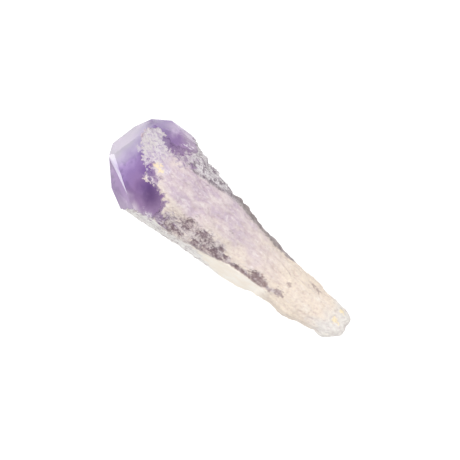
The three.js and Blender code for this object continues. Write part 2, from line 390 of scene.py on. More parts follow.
def above_ledge(places, fine):
    """1 on the flaked band's side of the ledge, 0 on the cream flank."""
    side = beside(places, CREAM_EDGE) + LEDGE["fray"] * fine
    past_end = smoothstep(places[:, 0] / MM, *LEDGE["ends"])
    return np.maximum(1 - smoothstep(side, *LEDGE["border"]), past_end)


def ledge_line_at(places, fine):
    """The dark line along the ledge."""
    away = np.abs(beside(places, CREAM_EDGE) + LINE["below"] + LINE["fray"] * fine)
    ends = between(places[:, 0] / MM, LINE["starts"], LINE["ends"])
    return (1 - smoothstep(away, *LINE["border"])) * ends * (places[:, 2] / MM > TOP_FROM)


def cream_at(places, ragged, lumps):
    side = beside(places, CREAM_EDGE) + CREAMY_AT["fray"] * ragged
    ends = between(places[:, 0] / MM + LUMPY * lumps, CREAMY_AT["starts"], CREAMY_AT["ends"])
    upper = smoothstep(places[:, 2] / MM, *CREAMY_AT["heights"])
    return smoothstep(side, *CREAMY_AT["border"]) * ends * upper


print("the ledge goes from", CREAM_EDGE[0], "to", CREAM_EDGE[-1], "mm")

# %% The tongue of crust that reaches up the head
# Its borders with the great face and with the faces on its right.
GREAT_EDGE = [(22.2, 6.6), (24.4, 5.4), (26.1, 4.5), (27.9, 4.0), (29.9, 3.6), (31.4, 3.4), (31.9, 2.6),
              (32.6, 0.2), (34.0, 0.3), (35.9, 1.4), (37.6, -0.4), (39.1, -2.3), (41.2, -4.4),
              (41.9, -6.3), (42.2, -7.5)]
RIGHT_EDGE = [(25.0, -15.0), (27.4, -13.4), (29.7, -11.0), (32.1, -8.8), (35.6, -10.5), (38.0, -11.8),
              (39.4, -11.0), (41.2, -9.9), (41.8, -8.8), (42.2, -7.5)]
TONGUE_FRAY = 0.6
TONGUE_BORDER = (0.0, 0.4)


def tongue_at(places, ragged):
    inside = np.minimum(beside(places, RIGHT_EDGE), -beside(places, GREAT_EDGE)) + TONGUE_FRAY * ragged
    return smoothstep(inside, *TONGUE_BORDER) * (places[:, 2] / MM > TOP_FROM)


print("the tongue's borders meet at", GREAT_EDGE[-1], "mm")

# %% The broken strip, the worn edge behind it, and the milky foot of the head
STRIP_EDGE = [(-24.0, -8.4), (-20.6, -7.3), (-18.2, -7.1), (-14.0, -7.2), (-10.2, -7.7), (-2.8, -8.5),
              (1.2, -9.2), (4.4, -9.7), (9.6, -9.8), (12.4, -8.9), (18.0, -8.4), (21.5, -7.6), (24.2, -8.3),
              (29.2, -8.4), (33.0, -9.5)]
MILKY_EDGE = [(-10.0, 12.5), (-4.0, 11.4), (4.8, 10.2), (8.5, 10.4), (16.0, 12.0), (24.0, 11.6),
              (28.5, 13.0), (31.5, 13.5), (33.7, 15.9)]
STRIP = {"fray": 0.5, "border": (-0.2, 0.5), "starts": (-25.0, -21.0), "heights": (5.5, 10.0)}
WORN = {"fray": 0.4, "border": (-0.1, 0.3), "far": (1.8, 2.6), "starts": (-25.0, -21.0),
        "ends": (5.0, 11.0), "heights": (5.0, 7.0)}
MILKY = {"fray": 0.9, "border": (-0.3, 0.9), "starts": (-14.0, -6.0), "heights": (3.0, 8.0)}
UNEVEN = 0.8  # how far the ragged noise moves a border up or down


def rough_height(places, ragged, lumps):
    """The height of each point, moved up and down by noise."""
    return places[:, 2] / MM + LUMPY * lumps + UNEVEN * ragged


def flank_at(side, places, ragged, lumps, flank):
    """The ground beyond a line, from the flank's start towards the head and above its heights."""
    upper = smoothstep(rough_height(places, ragged, lumps), *flank["heights"])
    return smoothstep(side, *flank["border"]) * smoothstep(places[:, 0] / MM, *flank["starts"]) * upper


def strip_at(places, ragged, lumps):
    side = -beside(places, STRIP_EDGE) + STRIP["fray"] * ragged
    return flank_at(side, places, ragged, lumps, STRIP)


def milky_at(places, ragged, lumps):
    side = beside(places, MILKY_EDGE) + MILKY["fray"] * ragged
    return flank_at(side, places, ragged, lumps, MILKY)


def worn_edge_at(places, fine):
    """A band about 2 mm wide, just below the strip's line."""
    side = -beside(places, STRIP_EDGE) + WORN["fray"] * fine
    ends = between(places[:, 0] / MM, WORN["starts"], WORN["ends"])
    upper = smoothstep(places[:, 2] / MM + fine, *WORN["heights"])
    return between(side, WORN["border"], WORN["far"]) * ends * upper


print("the strip's line goes from", STRIP_EDGE[0], "to", STRIP_EDGE[-1], "mm")

# %% [markdown]
# ## The broken crust
# The crust is quartz too, but etched and broken. Three things lift and lower the skin: a sugary
# grain, long growth lines that follow the crystal, and small chips, each nearly flat and tilted
# its own way. The strip of broken crystals gets the most, the flaked band lies a little lower, and
# the flat faces and the resting place stay as they are. The points of the skin are moved along
# their normals by numpy, which is quicker than a stack of displace modifiers and can use the
# places above.

# %% Mark the faces on the skin
SAME_WAY = 0.985  # cosine of the angle within which the skin looks the same way as a face
GLASS_REACH = 0.16 * MM  # skin this near a glassy face's plane, or beyond it, is glassy
FLAT_REACH = 0.1 * MM
MASK_ROUNDS = 3
REST_BELOW = 0.25 * MM  # the stone rests on skin below this height
REST_NORMAL = -0.9  # that has less than this upwards in its normal


def depth_below(places, faces):
    """How deep a point lies below the nearest of the faces' planes."""
    return np.min([(np.array(centre) - places) @ np.array(normal) for centre, normal in faces], axis=0)


def lies_on(places, normals, faces, reach):
    """True where a point is within reach of one of the flat faces' planes and looks the same way."""
    found = np.zeros(len(places), bool)
    for centre, normal in faces:
        away = np.abs((places - np.array(centre)) @ np.array(normal))
        found |= (away < reach) & (normals @ np.array(normal) > SAME_WAY)
    return found


places = places_of(crystal)
normals = normals_of(crystal)
window = (depth_below(places, glassy) < GLASS_REACH).astype(float)
window = spread(crystal, window, MASK_ROUNDS)
flat = lies_on(places, normals, matte, FLAT_REACH).astype(float)
flat = spread(crystal, (spread(crystal, flat, MASK_ROUNDS) > 0.5).astype(float), MASK_ROUNDS)
resting = ((places[:, 2] < REST_BELOW) & (normals[:, 2] < REST_NORMAL)).astype(float)
rough_share = (1 - flat) * (1 - resting)
print("share of the skin that is glassy:", round(float(window.mean()), 2))

# %% Smooth the measured facets where the stone is crust
SMOOTH_ROUNDS = 6
SMOOTH_ABOVE = 0.6 * MM
TONGUE_NOISE = {"size": 1.2, "seed": 40.0}

window *= 1 - tongue_at(places, ragged_edge(places, **TONGUE_NOISE))
rough = (1 - window) * rough_share
even = np.stack([spread(crystal, places[:, k].copy(), SMOOTH_ROUNDS) for k in range(3)], axis=1)
places += (even - places) * (rough * (places[:, 2] > SMOOTH_ABOVE))[:, None]
print("share of the skin that is smoothed:", round(float(rough.mean()), 2))

# %% Round out the root's end, which is a little hollow in the measured solid
END_MIDDLE = -0.3  # place across the stone, in millimetres
END_FROM = (42.0, 45.0)  # towards the root, in millimetres
END_WIDTH = (0.6, 2.8)
END_PUSH = 1.5 * MM

off_middle = np.abs(places[:, 1] / MM - END_MIDDLE)
end_share = smoothstep(-places[:, 0] / MM, *END_FROM) * (1 - smoothstep(off_middle, *END_WIDTH))
places[:, 0] -= END_PUSH * end_share
print("root's end in mm:", round(float(places[:, 0].min()) / MM, 1))

# %% Fill out two stretches of the outline that the measured solid leaves a little thin
# In millimetres: middle along the stone, reach, side (1 left, -1 right), first place across, push.
STRETCHES = [(3.6, 4.5, -1, 6.0, 0.9), (-9.5, 9.0, 1, 7.0, 0.7)]
BLEND = 3.0
FULL_SHARE = 0.3  # the share of the reach over which the push is full

for middle, reach, side, start, push in STRETCHES:
    beyond = smoothstep(side * places[:, 1] / MM, start, start + BLEND)
    full = 1 - smoothstep(np.abs(places[:, 0] / MM - middle), FULL_SHARE * reach, reach)
    places[:, 1] += side * push * MM * beyond * full
    print("moved", int((beyond * full > 0.5).sum()), "points by up to", push, "mm")
set_places(crystal, places)
normals = normals_of(crystal)

# %% Grain, growth lines and chips
GRAIN = {"size": 1.0, "height": 0.15, "layers": 3}
LINES = {"size": 1.0, "stretch": 7.0, "height": 0.16, "layers": 2}
CHIPS = {"size": 1.6, "stretch": 2.0, "tilt": 0.12, "step": 0.04}
SHARDS = {"size": 1.0, "stretch": 1.4, "tilt": 0.5, "step": 0.2}
CRUST_SOFTNESS = 0.7  # like SOFTNESS and FINER above, for the grain and the lines
CRUST_FINER = 2.0
TILT_FACTOR = 7.3  # these two take a chip's tilt and its step from different places in the noise
STEP_FACTOR = 5.1
LEAST = 0.01  # a share below this counts as none
CHIP_SEED = 4

noise.seed_set(CHIP_SEED)  # without a seed the tilts would change from run to run


def chip_lift(place, size, stretch, tilt, step):
    """How far the chip that a point belongs to lifts it, in millimetres."""
    spot = Vector((place.x / stretch, place.y, place.z)) / size
    cell = noise.voronoi(spot)[1][0]
    slope = noise.noise_vector(cell * TILT_FACTOR)
    return size * (tilt * slope.dot(spot - cell) + step * 2 * noise.noise(cell * STEP_FACTOR))


def relief(place, broken):
    """How far the crust stands out at a point, in metres. broken is 1 in the strip of shards."""
    p = Vector(place) / MM
    grain = GRAIN["height"] * noise.fractal(p / GRAIN["size"], CRUST_SOFTNESS, CRUST_FINER, GRAIN["layers"])
    drawn = Vector((p.x / LINES["stretch"], p.y, p.z)) / LINES["size"]
    lines = LINES["height"] * noise.fractal(drawn, CRUST_SOFTNESS, CRUST_FINER, LINES["layers"])
    whole = chip_lift(p, **CHIPS)
    shards = chip_lift(p, **SHARDS) if broken > LEAST else 0.0
    return (grain + lines + whole * (1 - broken) + shards * broken) * MM


for name, kind in (("chips", CHIPS), ("shards", SHARDS)):
    print(name, "are about", round(kind["size"] * kind["stretch"], 1), "by", kind["size"], "mm")

# %% Lift the crust
FLAKE_DEPTH = 0.22 * MM
PIT_DEPTH = 0.35 * MM
FLAKED_BROKEN = 0.6  # how broken the flaked band is
SHARDS_FROM = (3.0, 9.0)  # the strip has shards from here towards the head, and is only worn before

ragged, fine, lumps = noises_at(places)
ledge = above_ledge(places, fine)
flaked = flaked_at(places, ragged) * ledge
pits = blots_at(places, PITS, fine) * ledge
sharded = strip_at(places, ragged, lumps) * smoothstep(places[:, 0] / MM, *SHARDS_FROM)
broken = np.maximum(sharded, FLAKED_BROKEN * flaked)
lift = np.array([relief(p, b) if r > LEAST else 0.0 for p, r, b in zip(places, rough_share, broken)])
lift -= FLAKE_DEPTH * flaked + PIT_DEPTH * pits
print("the crust's relief spreads by", round(float(lift.std() / MM), 3), "mm")

# %% Fray the borders of the faces
BORDER_ROUNDS = 60
WINDOW_ROUNDS = 2
FRAY = {"size": 0.8, "seed": 40.0, "reach": 0.5}
NEAR_BORDER = 0.02  # the border lies where the share is between this and 1 less this
INTO_CRUST = 0.9 * MM  # crust this far below a face's plane may still be raised to it
# A feather of crust that reaches into the great face, too narrow for the soft border to keep.
FEATHER = [(29.6, 2.2, 2.3), (31.0, 2.8, 1.8)]
FEATHER_BORDER = (0.15, 0.6)

soft = spread(crystal, window, BORDER_ROUNDS)
soft *= 1 - smoothstep(blots_at(places, FEATHER, fine), *FEATHER_BORDER)
near = (soft > NEAR_BORDER) & (soft < 1 - NEAR_BORDER)
torn = np.zeros(len(places))
torn[near] = ragged_edge(places[near], FRAY["size"], FRAY["seed"])
depth = depth_below(places, glassy)
window = ((soft + FRAY["reach"] * torn > 0.5) & (depth < INTO_CRUST)).astype(float)
window = spread(crystal, window, WINDOW_ROUNDS)
print("points near a border:", int(near.sum()))

# %% Grow the faces proud of their planes, and sink the crust at their borders
FACE_PROUD = 0.5 * MM
CRUST_SUNK = 0.2 * MM
SUNK_REACH = 0.9 * MM
CRUST_TOP = 0.04 * MM  # no crust stands nearer to a face's plane than this

towards = np.array([np.array(normal) for _, normal in glassy])
nearest = np.argmin([(np.array(centre) - places) @ np.array(normal) for centre, normal in glassy], axis=0)
raised = towards[nearest] * (window * np.clip(depth, 0.0, INTO_CRUST))[:, None]
sunk = (1 - window) * (1 - smoothstep(depth, 0.0, SUNK_REACH))
border_push = FACE_PROUD * window - CRUST_SUNK * sunk
places += raised + normals * ((1 - window) * rough_share * lift + border_push)[:, None]
too_high = (1 - window) * np.maximum(CRUST_TOP - depth_below(places, glassy), 0.0)
places -= towards[nearest] * (too_high * (window < 0.5))[:, None]
places[:, 2] = np.maximum(places[:, 2], 0.0)
set_places(crystal, places)
print("share of the skin that will be cut flat:", round(float(window.mean()), 2))

# %% [markdown]
# ## Cutting the faces true
# A quartz head has flat faces that meet in sharp edges, which a remesh can't keep. So the stone is
# bisected along each face's plane, the part outside is cleared and the cut is filled. Where the
# skin stood proud of a plane it becomes a true face, and where it didn't the crust stays.

# %% Bisect along each face
CUT_SNAP = 0.0001 * MM
WELD = 0.002 * MM

pick(crystal)
bpy.ops.object.mode_set(mode="EDIT")
for centre, normal in glassy:
    bpy.ops.mesh.select_all(action="SELECT")
    bpy.ops.mesh.bisect(
        plane_co=centre, plane_no=normal, use_fill=True, clear_outer=True, threshold=CUT_SNAP
    )
bpy.ops.mesh.select_all(action="SELECT")
bpy.ops.mesh.remove_doubles(threshold=WELD)
bpy.ops.mesh.select_all(action="DESELECT")
# What the cuts left open is filled.
bpy.ops.mesh.select_mode(type="EDGE")
bpy.ops.mesh.select_non_manifold(
    extend=False, use_wire=False, use_multi_face=False, use_non_contiguous=False, use_verts=False
)
bpy.ops.mesh.fill_holes(sides=0)
bpy.ops.object.mode_set(mode="OBJECT")


def open_edges(piece):
    """How many edges don't have just two faces."""
    loops = np.empty(len(piece.data.loops), np.int32)
    piece.data.loops.foreach_get("edge_index", loops)
    return int((np.bincount(loops, minlength=len(piece.data.edges)) != 2).sum())


print("faces after the cuts:", len(crystal.data.polygons), "open edges:", open_edges(crystal))

# %% Smooth crust, flat glassy faces
ON_FACE = 0.002 * MM
ALIKE = 0.999  # cosine of the angle within which a facet counts as part of a face
SMOOTH_WITHIN = math.radians(32)

pick(crystal)
bpy.ops.object.shade_smooth_by_angle(angle=SMOOTH_WITHIN)
bpy.ops.object.mode_set(mode="EDIT")
bpy.ops.mesh.select_all(action="DESELECT")
bpy.ops.object.mode_set(mode="OBJECT")
for polygon in crystal.data.polygons:
    polygon.select = any(
        abs((polygon.center - centre).dot(normal)) < ON_FACE and polygon.normal.dot(normal) > ALIKE
        for centre, normal in glassy
    )
bpy.ops.object.mode_set(mode="EDIT")
bpy.ops.mesh.faces_shade_flat()
bpy.ops.object.mode_set(mode="OBJECT")
print("glassy facets:", sum(p.select for p in crystal.data.polygons))

# %% [markdown]
# ## Masks on the skin
# The finish changes from place to place, so the skin carries masks as attributes: where it is a
# grown face, how near crust is to one, how deep in a crevice a point lies, and the places above.
# The material reads them by name. A painted picture would need the skin unwrapped first.


# %% Write a mask
def write_mask(name, values):
    attribute = crystal.data.attributes.new(name, "FLOAT", "POINT")
    attribute.data.foreach_set("value", np.clip(values, 0, 1).astype(np.float32))
    print(name, "covers", round(float(np.mean(values > 0.5)), 3), "of the points")


places = places_of(crystal)
normals = normals_of(crystal)
on_plane = np.zeros(len(places), bool)
for centre, normal in glassy:
    on_plane |= np.abs((places - np.array(centre)) @ np.array(normal)) < ON_FACE
write_mask("grown", on_plane.astype(float))

# %% Nearness to a grown face
FRINGE_REACH = 1.8
FRINGE_LEAST = 0.2  # how much of it is left at the tip
DEEP_UNTIL = (33.0, 37.0)

finder = kdtree.KDTree(int(on_plane.sum()))
for i, place in enumerate(places[on_plane]):
    finder.insert(place, i)
finder.balance()
away = np.array([0.0 if on else finder.find(p)[2] / MM for p, on in zip(places, on_plane)])
beside_deep = 1 - smoothstep(places[:, 0] / MM, *DEEP_UNTIL)
fringe_share = FRINGE_LEAST + (1 - FRINGE_LEAST) * beside_deep
write_mask("fringe", (1 - smoothstep(away, 0.0, FRINGE_REACH)) * fringe_share)

# %% Crevices
# The crevice mask serves only for painted shade: the material darkens the crust in its crevices with it.
CREVICE_ROUNDS = 10
CREVICE_DEPTH = (-0.06, 0.12)

evened = np.stack([spread(crystal, places[:, k].copy(), CREVICE_ROUNDS) for k in range(3)], axis=1)
hollow = ((evened - places) * normals).sum(axis=1) / MM
write_mask("crevice", smoothstep(hollow, *CREVICE_DEPTH))

# %% The small places that only change the colour
# Fainter marks on the root.
MARKS = [(-20.8, 4.6, 0.9), (-23.6, 3.2, 1.2), (-25.2, 3.3, 0.5), (-24.3, -1.1, 0.7), (-31.0, -5.9, 0.5),
         (-33.0, -5.6, 0.7), (0.7, -1.4, 0.6), (28.6, 0.3, 0.6)]
# Where the crust is gone and the purple shows as bare, rough glass.
BARE = [(34.6, -9.6, 1.2), (33.2, -9.3, 1.6), (31.6, -9.4, 1.7), (30.2, -10.0, 1.3), (31.8, 0.9, 0.8)]
STAINS = [(24.0, 9.0, 3.4), (28.5, -9.8, 3.6), (21.0, 9.6, 2.6), (30.0, 1.5, 1.6)]
# Whiter patches in the tongue of crust.
PALE = [(39.4, -8.3, 1.9), (36.4, -8.2, 1.8), (35.2, -5.6, 1.3), (29.6, -2.6, 1.6), (30.3, 2.3, 1.5)]
GOLD = [(31.9, -1.6, 0.8), (30.4, -1.3, 0.8), (31.0, -2.4, 0.5), (33.9, -1.2, 0.4), (-43.4, -2.1, 0.9),
        (-43.2, -5.7, 0.7)]
# The line, the marks, the gold and the pale patches are fainter than a full mask.
SHARES = {"line": 0.75, "marks": 0.55, "golden": 0.8, "pale": 0.7}
# The seam is the dark line between the strip and the body.
SEAM_AT = {"share": 0.9, "below": 0.4, "fray": 0.5, "border": (0.8, 0.2), "starts": (2.0, 8.0)}
# More flakes lie low down, where the large lumps of noise are highest.
HIDDEN = {"fray": 0.25, "border": (0.25, 0.6), "heights": (4.0, 7.0)}
STRIP_COLOURED = (1.0, 5.0)
TONGUE_COLOURED = (29.0, 33.5)
FOOT_HEIGHTS = (1.0, 5.0)

ragged, fine, lumps = noises_at(places)
low = 1 - smoothstep(places[:, 2] / MM, *HIDDEN["heights"])
hidden = smoothstep(lumps + HIDDEN["fray"] * ragged, *HIDDEN["border"]) * low
ledge = above_ledge(places, fine)
pits = np.maximum(blots_at(places, PITS, fine) * ledge, SHARES["line"] * ledge_line_at(places, fine))
top = (places[:, 2] / MM > TOP_FROM) * smoothstep(places[:, 0] / MM, *SEAM_AT["starts"])
off_seam = np.abs(beside(places, STRIP_EDGE) + SEAM_AT["below"] + SEAM_AT["fray"] * fine)
ragged_along = places[:, 0] / MM + ragged

# %% Write a mask for each place, on the crust only
found = {
    "flaked": np.maximum(flaked_at(places, ragged) * ledge, hidden),
    "pits": np.maximum(pits, SHARES["marks"] * blots_at(places, MARKS, fine)),
    "strip": strip_at(places, ragged, lumps) * smoothstep(ragged_along, *STRIP_COLOURED),
    "edge": worn_edge_at(places, fine),
    "seam": SEAM_AT["share"] * smoothstep(off_seam, *SEAM_AT["border"]) * top,
    "milky": milky_at(places, ragged, lumps),
    "cream": cream_at(places, ragged, lumps),
    "stained": blots_at(places, STAINS, ragged),
    "bare": blots_at(places, BARE, fine),
    "golden": SHARES["golden"] * blots_at(places, GOLD, fine),
    "tongue": tongue_at(places, ragged) * smoothstep(ragged_along, *TONGUE_COLOURED),
    "pale": SHARES["pale"] * blots_at(places, PALE, ragged),
    "foot": 1 - smoothstep(places[:, 2] / MM + ragged, *FOOT_HEIGHTS),
}
for name, values in found.items():
    write_mask(name, values * (1.0 - on_plane))

# %% The bevel, which carries a painted highlight, and the darker faces on its left
# Each kind of face, with the ways that its faces look.
LOOKS = {"bevel": [(0.47, 0.44, 0.77)], "side": [(0.48, 0.66, 0.57), (0.40, 0.77, 0.50)]}

for name, ways in LOOKS.items():
    attribute = crystal.data.attributes.new(name, "FLOAT", "FACE")
    alike = [
        float(p.select and max(p.normal.dot(Vector(way).normalized()) for way in ways) > ALIKE)
        for p in crystal.data.polygons
    ]
    attribute.data.foreach_set("value", alike)
    print(name, "covers", int(sum(alike)), "facets")

# %% How clear the stone is
CLEAR = {"milky": 0.15, "strip": 0.22, "flaked": 0.2, "stained": 0.25, "tongue": 0.25}
CLEAR_CRUST = 0.1

clearness = np.full(len(places), CLEAR_CRUST)
for name, share in CLEAR.items():
    clearness += (share - clearness) * found[name]
write_mask("clear", clearness)
print("clearness of the crust in the mean:", round(float(clearness.mean()), 3))

# %% [markdown]
# ## The finish
# Raw amethyst, grown and never polished. Where it is a grown face it is clear purple glass with a
# refractive index of 1.544. Its purple is inside, so it deepens with the thickness of the stone.
# Its crust is the same quartz, etched until it scatters light, so it looks like pale matte sugar.
# Two materials would meet in a hard line, so one material does both, and the masks lead it from
# one to the other. First it works out the colour of the crust, layer by layer, then that of the
# glass, and at the end it chooses between them.

# %% Patterns in the stone
QUARTZ_IOR = 1.544
DRAWN = {"Scale": (0.4, 1.0, 1.0)}
SLANTED = {"Scale": (0.55, 1.0, 1.0), "Rotation": (0.0, 0.0, 0.15)}
PATTERNS = {
    "mottle": {"Scale": 1 / (2.6 * MM), "Detail": 5.0, "Roughness": 0.62, "Distortion": 0.4},
    "streaks": {"Scale": 1 / (0.7 * MM), "Detail": 3.0, "Roughness": 0.6, "Distortion": 0.0},
    "sugar": {"Scale": 1 / (0.55 * MM), "Detail": 3.0, "Roughness": 0.7, "Distortion": 0.0},
    "flecks": {"Scale": 1 / (1.3 * MM), "Detail": 5.0, "Roughness": 0.72, "Distortion": 0.6},
    "tint": {"Scale": 1 / (9.0 * MM), "Detail": 3.0, "Roughness": 0.5, "Distortion": 0.3},
}

amethyst, tree, shader = new_material("raw_amethyst_quartz")
shader.inputs["IOR"].default_value = QUARTZ_IOR
spot = add_node(tree, "ShaderNodeTexCoord").outputs["Object"]
spot_parts = add_node(tree, "ShaderNodeSeparateXYZ", links={"Vector": spot}).outputs
drawn = add_node(tree, "ShaderNodeMapping", DRAWN, {"Vector": spot}).outputs["Vector"]
slanted = add_node(tree, "ShaderNodeMapping", SLANTED, {"Vector": spot}).outputs["Vector"]
vectors = {"mottle": drawn, "streaks": drawn, "sugar": spot, "flecks": slanted, "tint": drawn}
pattern = {
    name: add_node(tree, "ShaderNodeTexNoise", settings, {"Vector": vectors[name]}).outputs["Fac"]
    for name, settings in PATTERNS.items()
}
mask = {
    name: add_node(tree, "ShaderNodeAttribute", {"attribute_name": name}).outputs["Fac"]
    for name in ("grown", "fringe", "crevice", *found, *LOOKS, "clear")
}
print("patterns:", len(pattern), "masks:", len(mask))

# %% Colour of the crust, from the lilac body to the cream root and the milky end
LILAC = [(0.34, "#e3d7d5"), (0.47, "#d8c9cc"), (0.58, "#cab8c6"), (0.70, "#e4d9db")]
CREAMY = [(0.34, "#eaded0"), (0.50, "#e0d3c9"), (0.66, "#efe5da")]
ROOT = [(0.32, "#f6e9d5"), (0.50, "#eadccb"), (0.68, "#f4ebdc")]
MILK = [(0.32, "#f6f1e6"), (0.50, "#e8e4dd"), (0.65, "#f6f2ea")]
WANDER = 22 * MM  # how far the tint noise moves the borders between them
LEAN = -0.015 / MM  # the right side is more lilac than the left
TO_LILAC = {"From Min": 0.42, "From Max": 0.56}
TO_BODY = {"From Min": -10 * MM, "From Max": 12 * MM}
TO_MILK = {"From Min": -25 * MM, "From Max": -31 * MM}

# A mix node takes its share at input 0 and colours at 6 and 7, and gives the colour at output 2.
tones = {
    name: add_node(tree, "ShaderNodeValToRGB", links={"Fac": pattern["mottle"]}, stops=stops).outputs[0]
    for name, stops in (("lilac", LILAC), ("creamy", CREAMY), ("root", ROOT), ("milk", MILK))
}
wander = add_node(
    tree,
    "ShaderNodeMath",
    {"operation": "MULTIPLY_ADD", 1: WANDER},
    {0: pattern["tint"], 2: spot_parts["X"]},
).outputs[0]
leaning = add_node(
    tree,
    "ShaderNodeMath",
    {"operation": "MULTIPLY_ADD", 1: LEAN},
    {0: spot_parts["Y"], 2: pattern["tint"]},
).outputs[0]
to_lilac = add_node(tree, "ShaderNodeMapRange", TO_LILAC, {"Value": leaning}).outputs["Result"]
to_body = add_node(tree, "ShaderNodeMapRange", TO_BODY, {"Value": wander}).outputs["Result"]
to_milk = add_node(tree, "ShaderNodeMapRange", TO_MILK, {"Value": wander}).outputs["Result"]
body = add_node(
    tree, "ShaderNodeMix", {"data_type": "RGBA"}, {0: to_lilac, 6: tones["creamy"], 7: tones["lilac"]}
).outputs[2]
crust = add_node(
    tree, "ShaderNodeMix", {"data_type": "RGBA"}, {0: to_body, 6: tones["root"], 7: body}
).outputs[2]
crust = add_node(
    tree, "ShaderNodeMix", {"data_type": "RGBA"}, {0: to_milk, 6: crust, 7: tones["milk"]}
).outputs[2]
print("crust tones:", list(tones))

# %% Streaks, painted glints, and painted shade in the crevices of the crust
# One colour serves for the crust's own streaks and for the painted shade in its crevices.
STREAK_AND_CREVICE_SHADE = "#b49aa0"
# GLINT is a painted highlight: pale glints drawn from the streak noise.
GLINT = "#f8f3f0"
STREAKED = {"From Min": 0.54, "From Max": 0.76, "To Max": 0.29}
GLINTING = {"From Min": 0.44, "From Max": 0.28, "To Max": 0.45}
CREVICE_SHADE_SHARE = 0.28

streaked = add_node(
    tree, "ShaderNodeMapRange", STREAKED, {"Value": pattern["streaks"]}
).outputs["Result"]
streaks_and_crevice_shade = add_node(
    tree,
    "ShaderNodeMath",
    {"operation": "MULTIPLY_ADD", 1: CREVICE_SHADE_SHARE},
    {0: mask["crevice"], 2: streaked},
).outputs[0]
glints = add_node(
    tree, "ShaderNodeMapRange", GLINTING, {"Value": pattern["streaks"]}
).outputs["Result"]
# The streaks with the painted crevice shade go in first, then the painted glints.
for share, tint in ((streaks_and_crevice_shade, STREAK_AND_CREVICE_SHADE), (glints, GLINT)):
    crust = add_node(
        tree, "ShaderNodeMix", {"data_type": "RGBA", 7: linear(tint)}, {0: share, 6: crust}
    ).outputs[2]
print("nodes so far:", len(tree.nodes))

# %% The cream flank and the milky foot of the head
CREAM = [(0.35, "#fffaf0"), (0.60, "#fbf1e2")]
FROST = [(0.38, "#c8bebf"), (0.46, "#e9e5e2"), (0.54, "#fbf9f4"), (0.64, "#f4f1ee"), (0.72, "#d3cacc")]

for name, grain, stops in (("cream", "mottle", CREAM), ("milky", "flecks", FROST)):
    ramp = add_node(tree, "ShaderNodeValToRGB", links={"Fac": pattern[grain]}, stops=stops).outputs[0]
    crust = add_node(
        tree, "ShaderNodeMix", {"data_type": "RGBA"}, {0: mask[name], 6: crust, 7: ramp}
    ).outputs[2]
print("nodes so far:", len(tree.nodes))

# %% Flecked places, from the foot up to the pits, which cover all the others
GREY = [(0.36, "#9a8a92"), (0.45, "#bfb2b5"), (0.53, "#e8dfd9"), (0.66, "#c4b6b8")]
SHARD = [(0.36, "#786c78"), (0.45, "#b0a5ac"), (0.53, "#eeebe9"), (0.62, "#c2b8bf"), (0.70, "#857985")]
PIT = [(0.38, "#7b666b"), (0.50, "#98858a"), (0.62, "#cbbdba")]
EDGE = [(0.40, "#85797a"), (0.60, "#b3a8a6")]
SEAM = [(0.40, "#81757e"), (0.52, "#a79ba1"), (0.62, "#e4dedd")]
FOOT = [(0.36, "#cfc3c9"), (0.60, "#e2d9da")]
THIN = [(0.34, "#ad9cbc"), (0.43, "#c4b6ca"), (0.52, "#dcd4d6"), (0.61, "#e9e4df"), (0.71, "#b9aac2")]
WHITE = [(0.38, "#c2b2c8"), (0.47, "#dad0da"), (0.55, "#f1ecec"), (0.64, "#cdc1cf")]
STAIN = [(0.38, "#866b92"), (0.48, "#ac98b0"), (0.60, "#dcd2d4")]
FLECKED = {"foot": FOOT, "flaked": GREY, "strip": SHARD, "edge": EDGE, "seam": SEAM, "tongue": THIN,
           "pale": WHITE, "stained": STAIN, "pits": PIT}

for name, stops in FLECKED.items():
    ramp = add_node(tree, "ShaderNodeValToRGB", links={"Fac": pattern["flecks"]}, stops=stops).outputs[0]
    crust = add_node(
        tree, "ShaderNodeMix", {"data_type": "RGBA"}, {0: mask[name], 6: crust, 7: ramp}
    ).outputs[2]
print("flecked places:", list(FLECKED))

# %% Browner pits on the root
RUSTY = "#a08a82"
RUSTY_SHARE = 0.8

rootward = add_node(
    tree, "ShaderNodeMath", {"operation": "SUBTRACT", 0: RUSTY_SHARE}, {1: to_body}
).outputs[0]
rusty = add_node(
    tree, "ShaderNodeMath", {"operation": "MULTIPLY", "use_clamp": True}, {0: rootward, 1: mask["pits"]}
).outputs[0]
crust = add_node(
    tree, "ShaderNodeMix", {"data_type": "RGBA", 7: linear(RUSTY)}, {0: rusty, 6: crust}
).outputs[2]
print("nodes so far:", len(tree.nodes))

# %% Colour of the grown faces, pale at the tip and deep towards the body
# The ramp's pale end towards the tip is partly painted reflection of the soft light on the faces there, and
# partly the thin stone there.
GLASS = [(0.0, "#90759b"), (0.26, "#93769f"), (0.44, "#8a6d9b"), (0.59, "#8a71a6"), (0.70, "#a892c3"),
         (0.79, "#d3c8e3"), (0.88, "#e5e0ea"), (1.0, "#e9e5ee")]
GLASS_SPAN = {"From Min": 21 * MM, "From Max": 48 * MM}
SWIRL = 5 * MM  # how far the swirls move the colours, which keeps them from lying in straight bands
SWIRLS = {"Scale": 1 / (5.0 * MM), "Detail": 4.0, "Roughness": 0.55, "Distortion": 0.6}
FLATTENED = {"Location": (-SWIRL / 2, -SWIRL / 2, 0.0), "Scale": (1.0, 1.0, 0.0)}

swirl = add_node(tree, "ShaderNodeTexNoise", SWIRLS, {"Vector": spot}).outputs["Color"]
swirled = add_node(
    tree,
    "ShaderNodeVectorMath",
    {"operation": "MULTIPLY_ADD", 1: (SWIRL, SWIRL, 0.0)},
    {0: swirl, 2: spot},
).outputs[0]
swirled = add_node(tree, "ShaderNodeMapping", FLATTENED, {"Vector": swirled}).outputs["Vector"]
swirled_along = add_node(tree, "ShaderNodeSeparateXYZ", links={"Vector": swirled}).outputs["X"]
to_tip = add_node(
    tree, "ShaderNodeMapRange", GLASS_SPAN, {"Value": swirled_along}
).outputs["Result"]
glass = add_node(tree, "ShaderNodeValToRGB", links={"Fac": to_tip}, stops=GLASS).outputs[0]
print("glass tones:", len(GLASS))

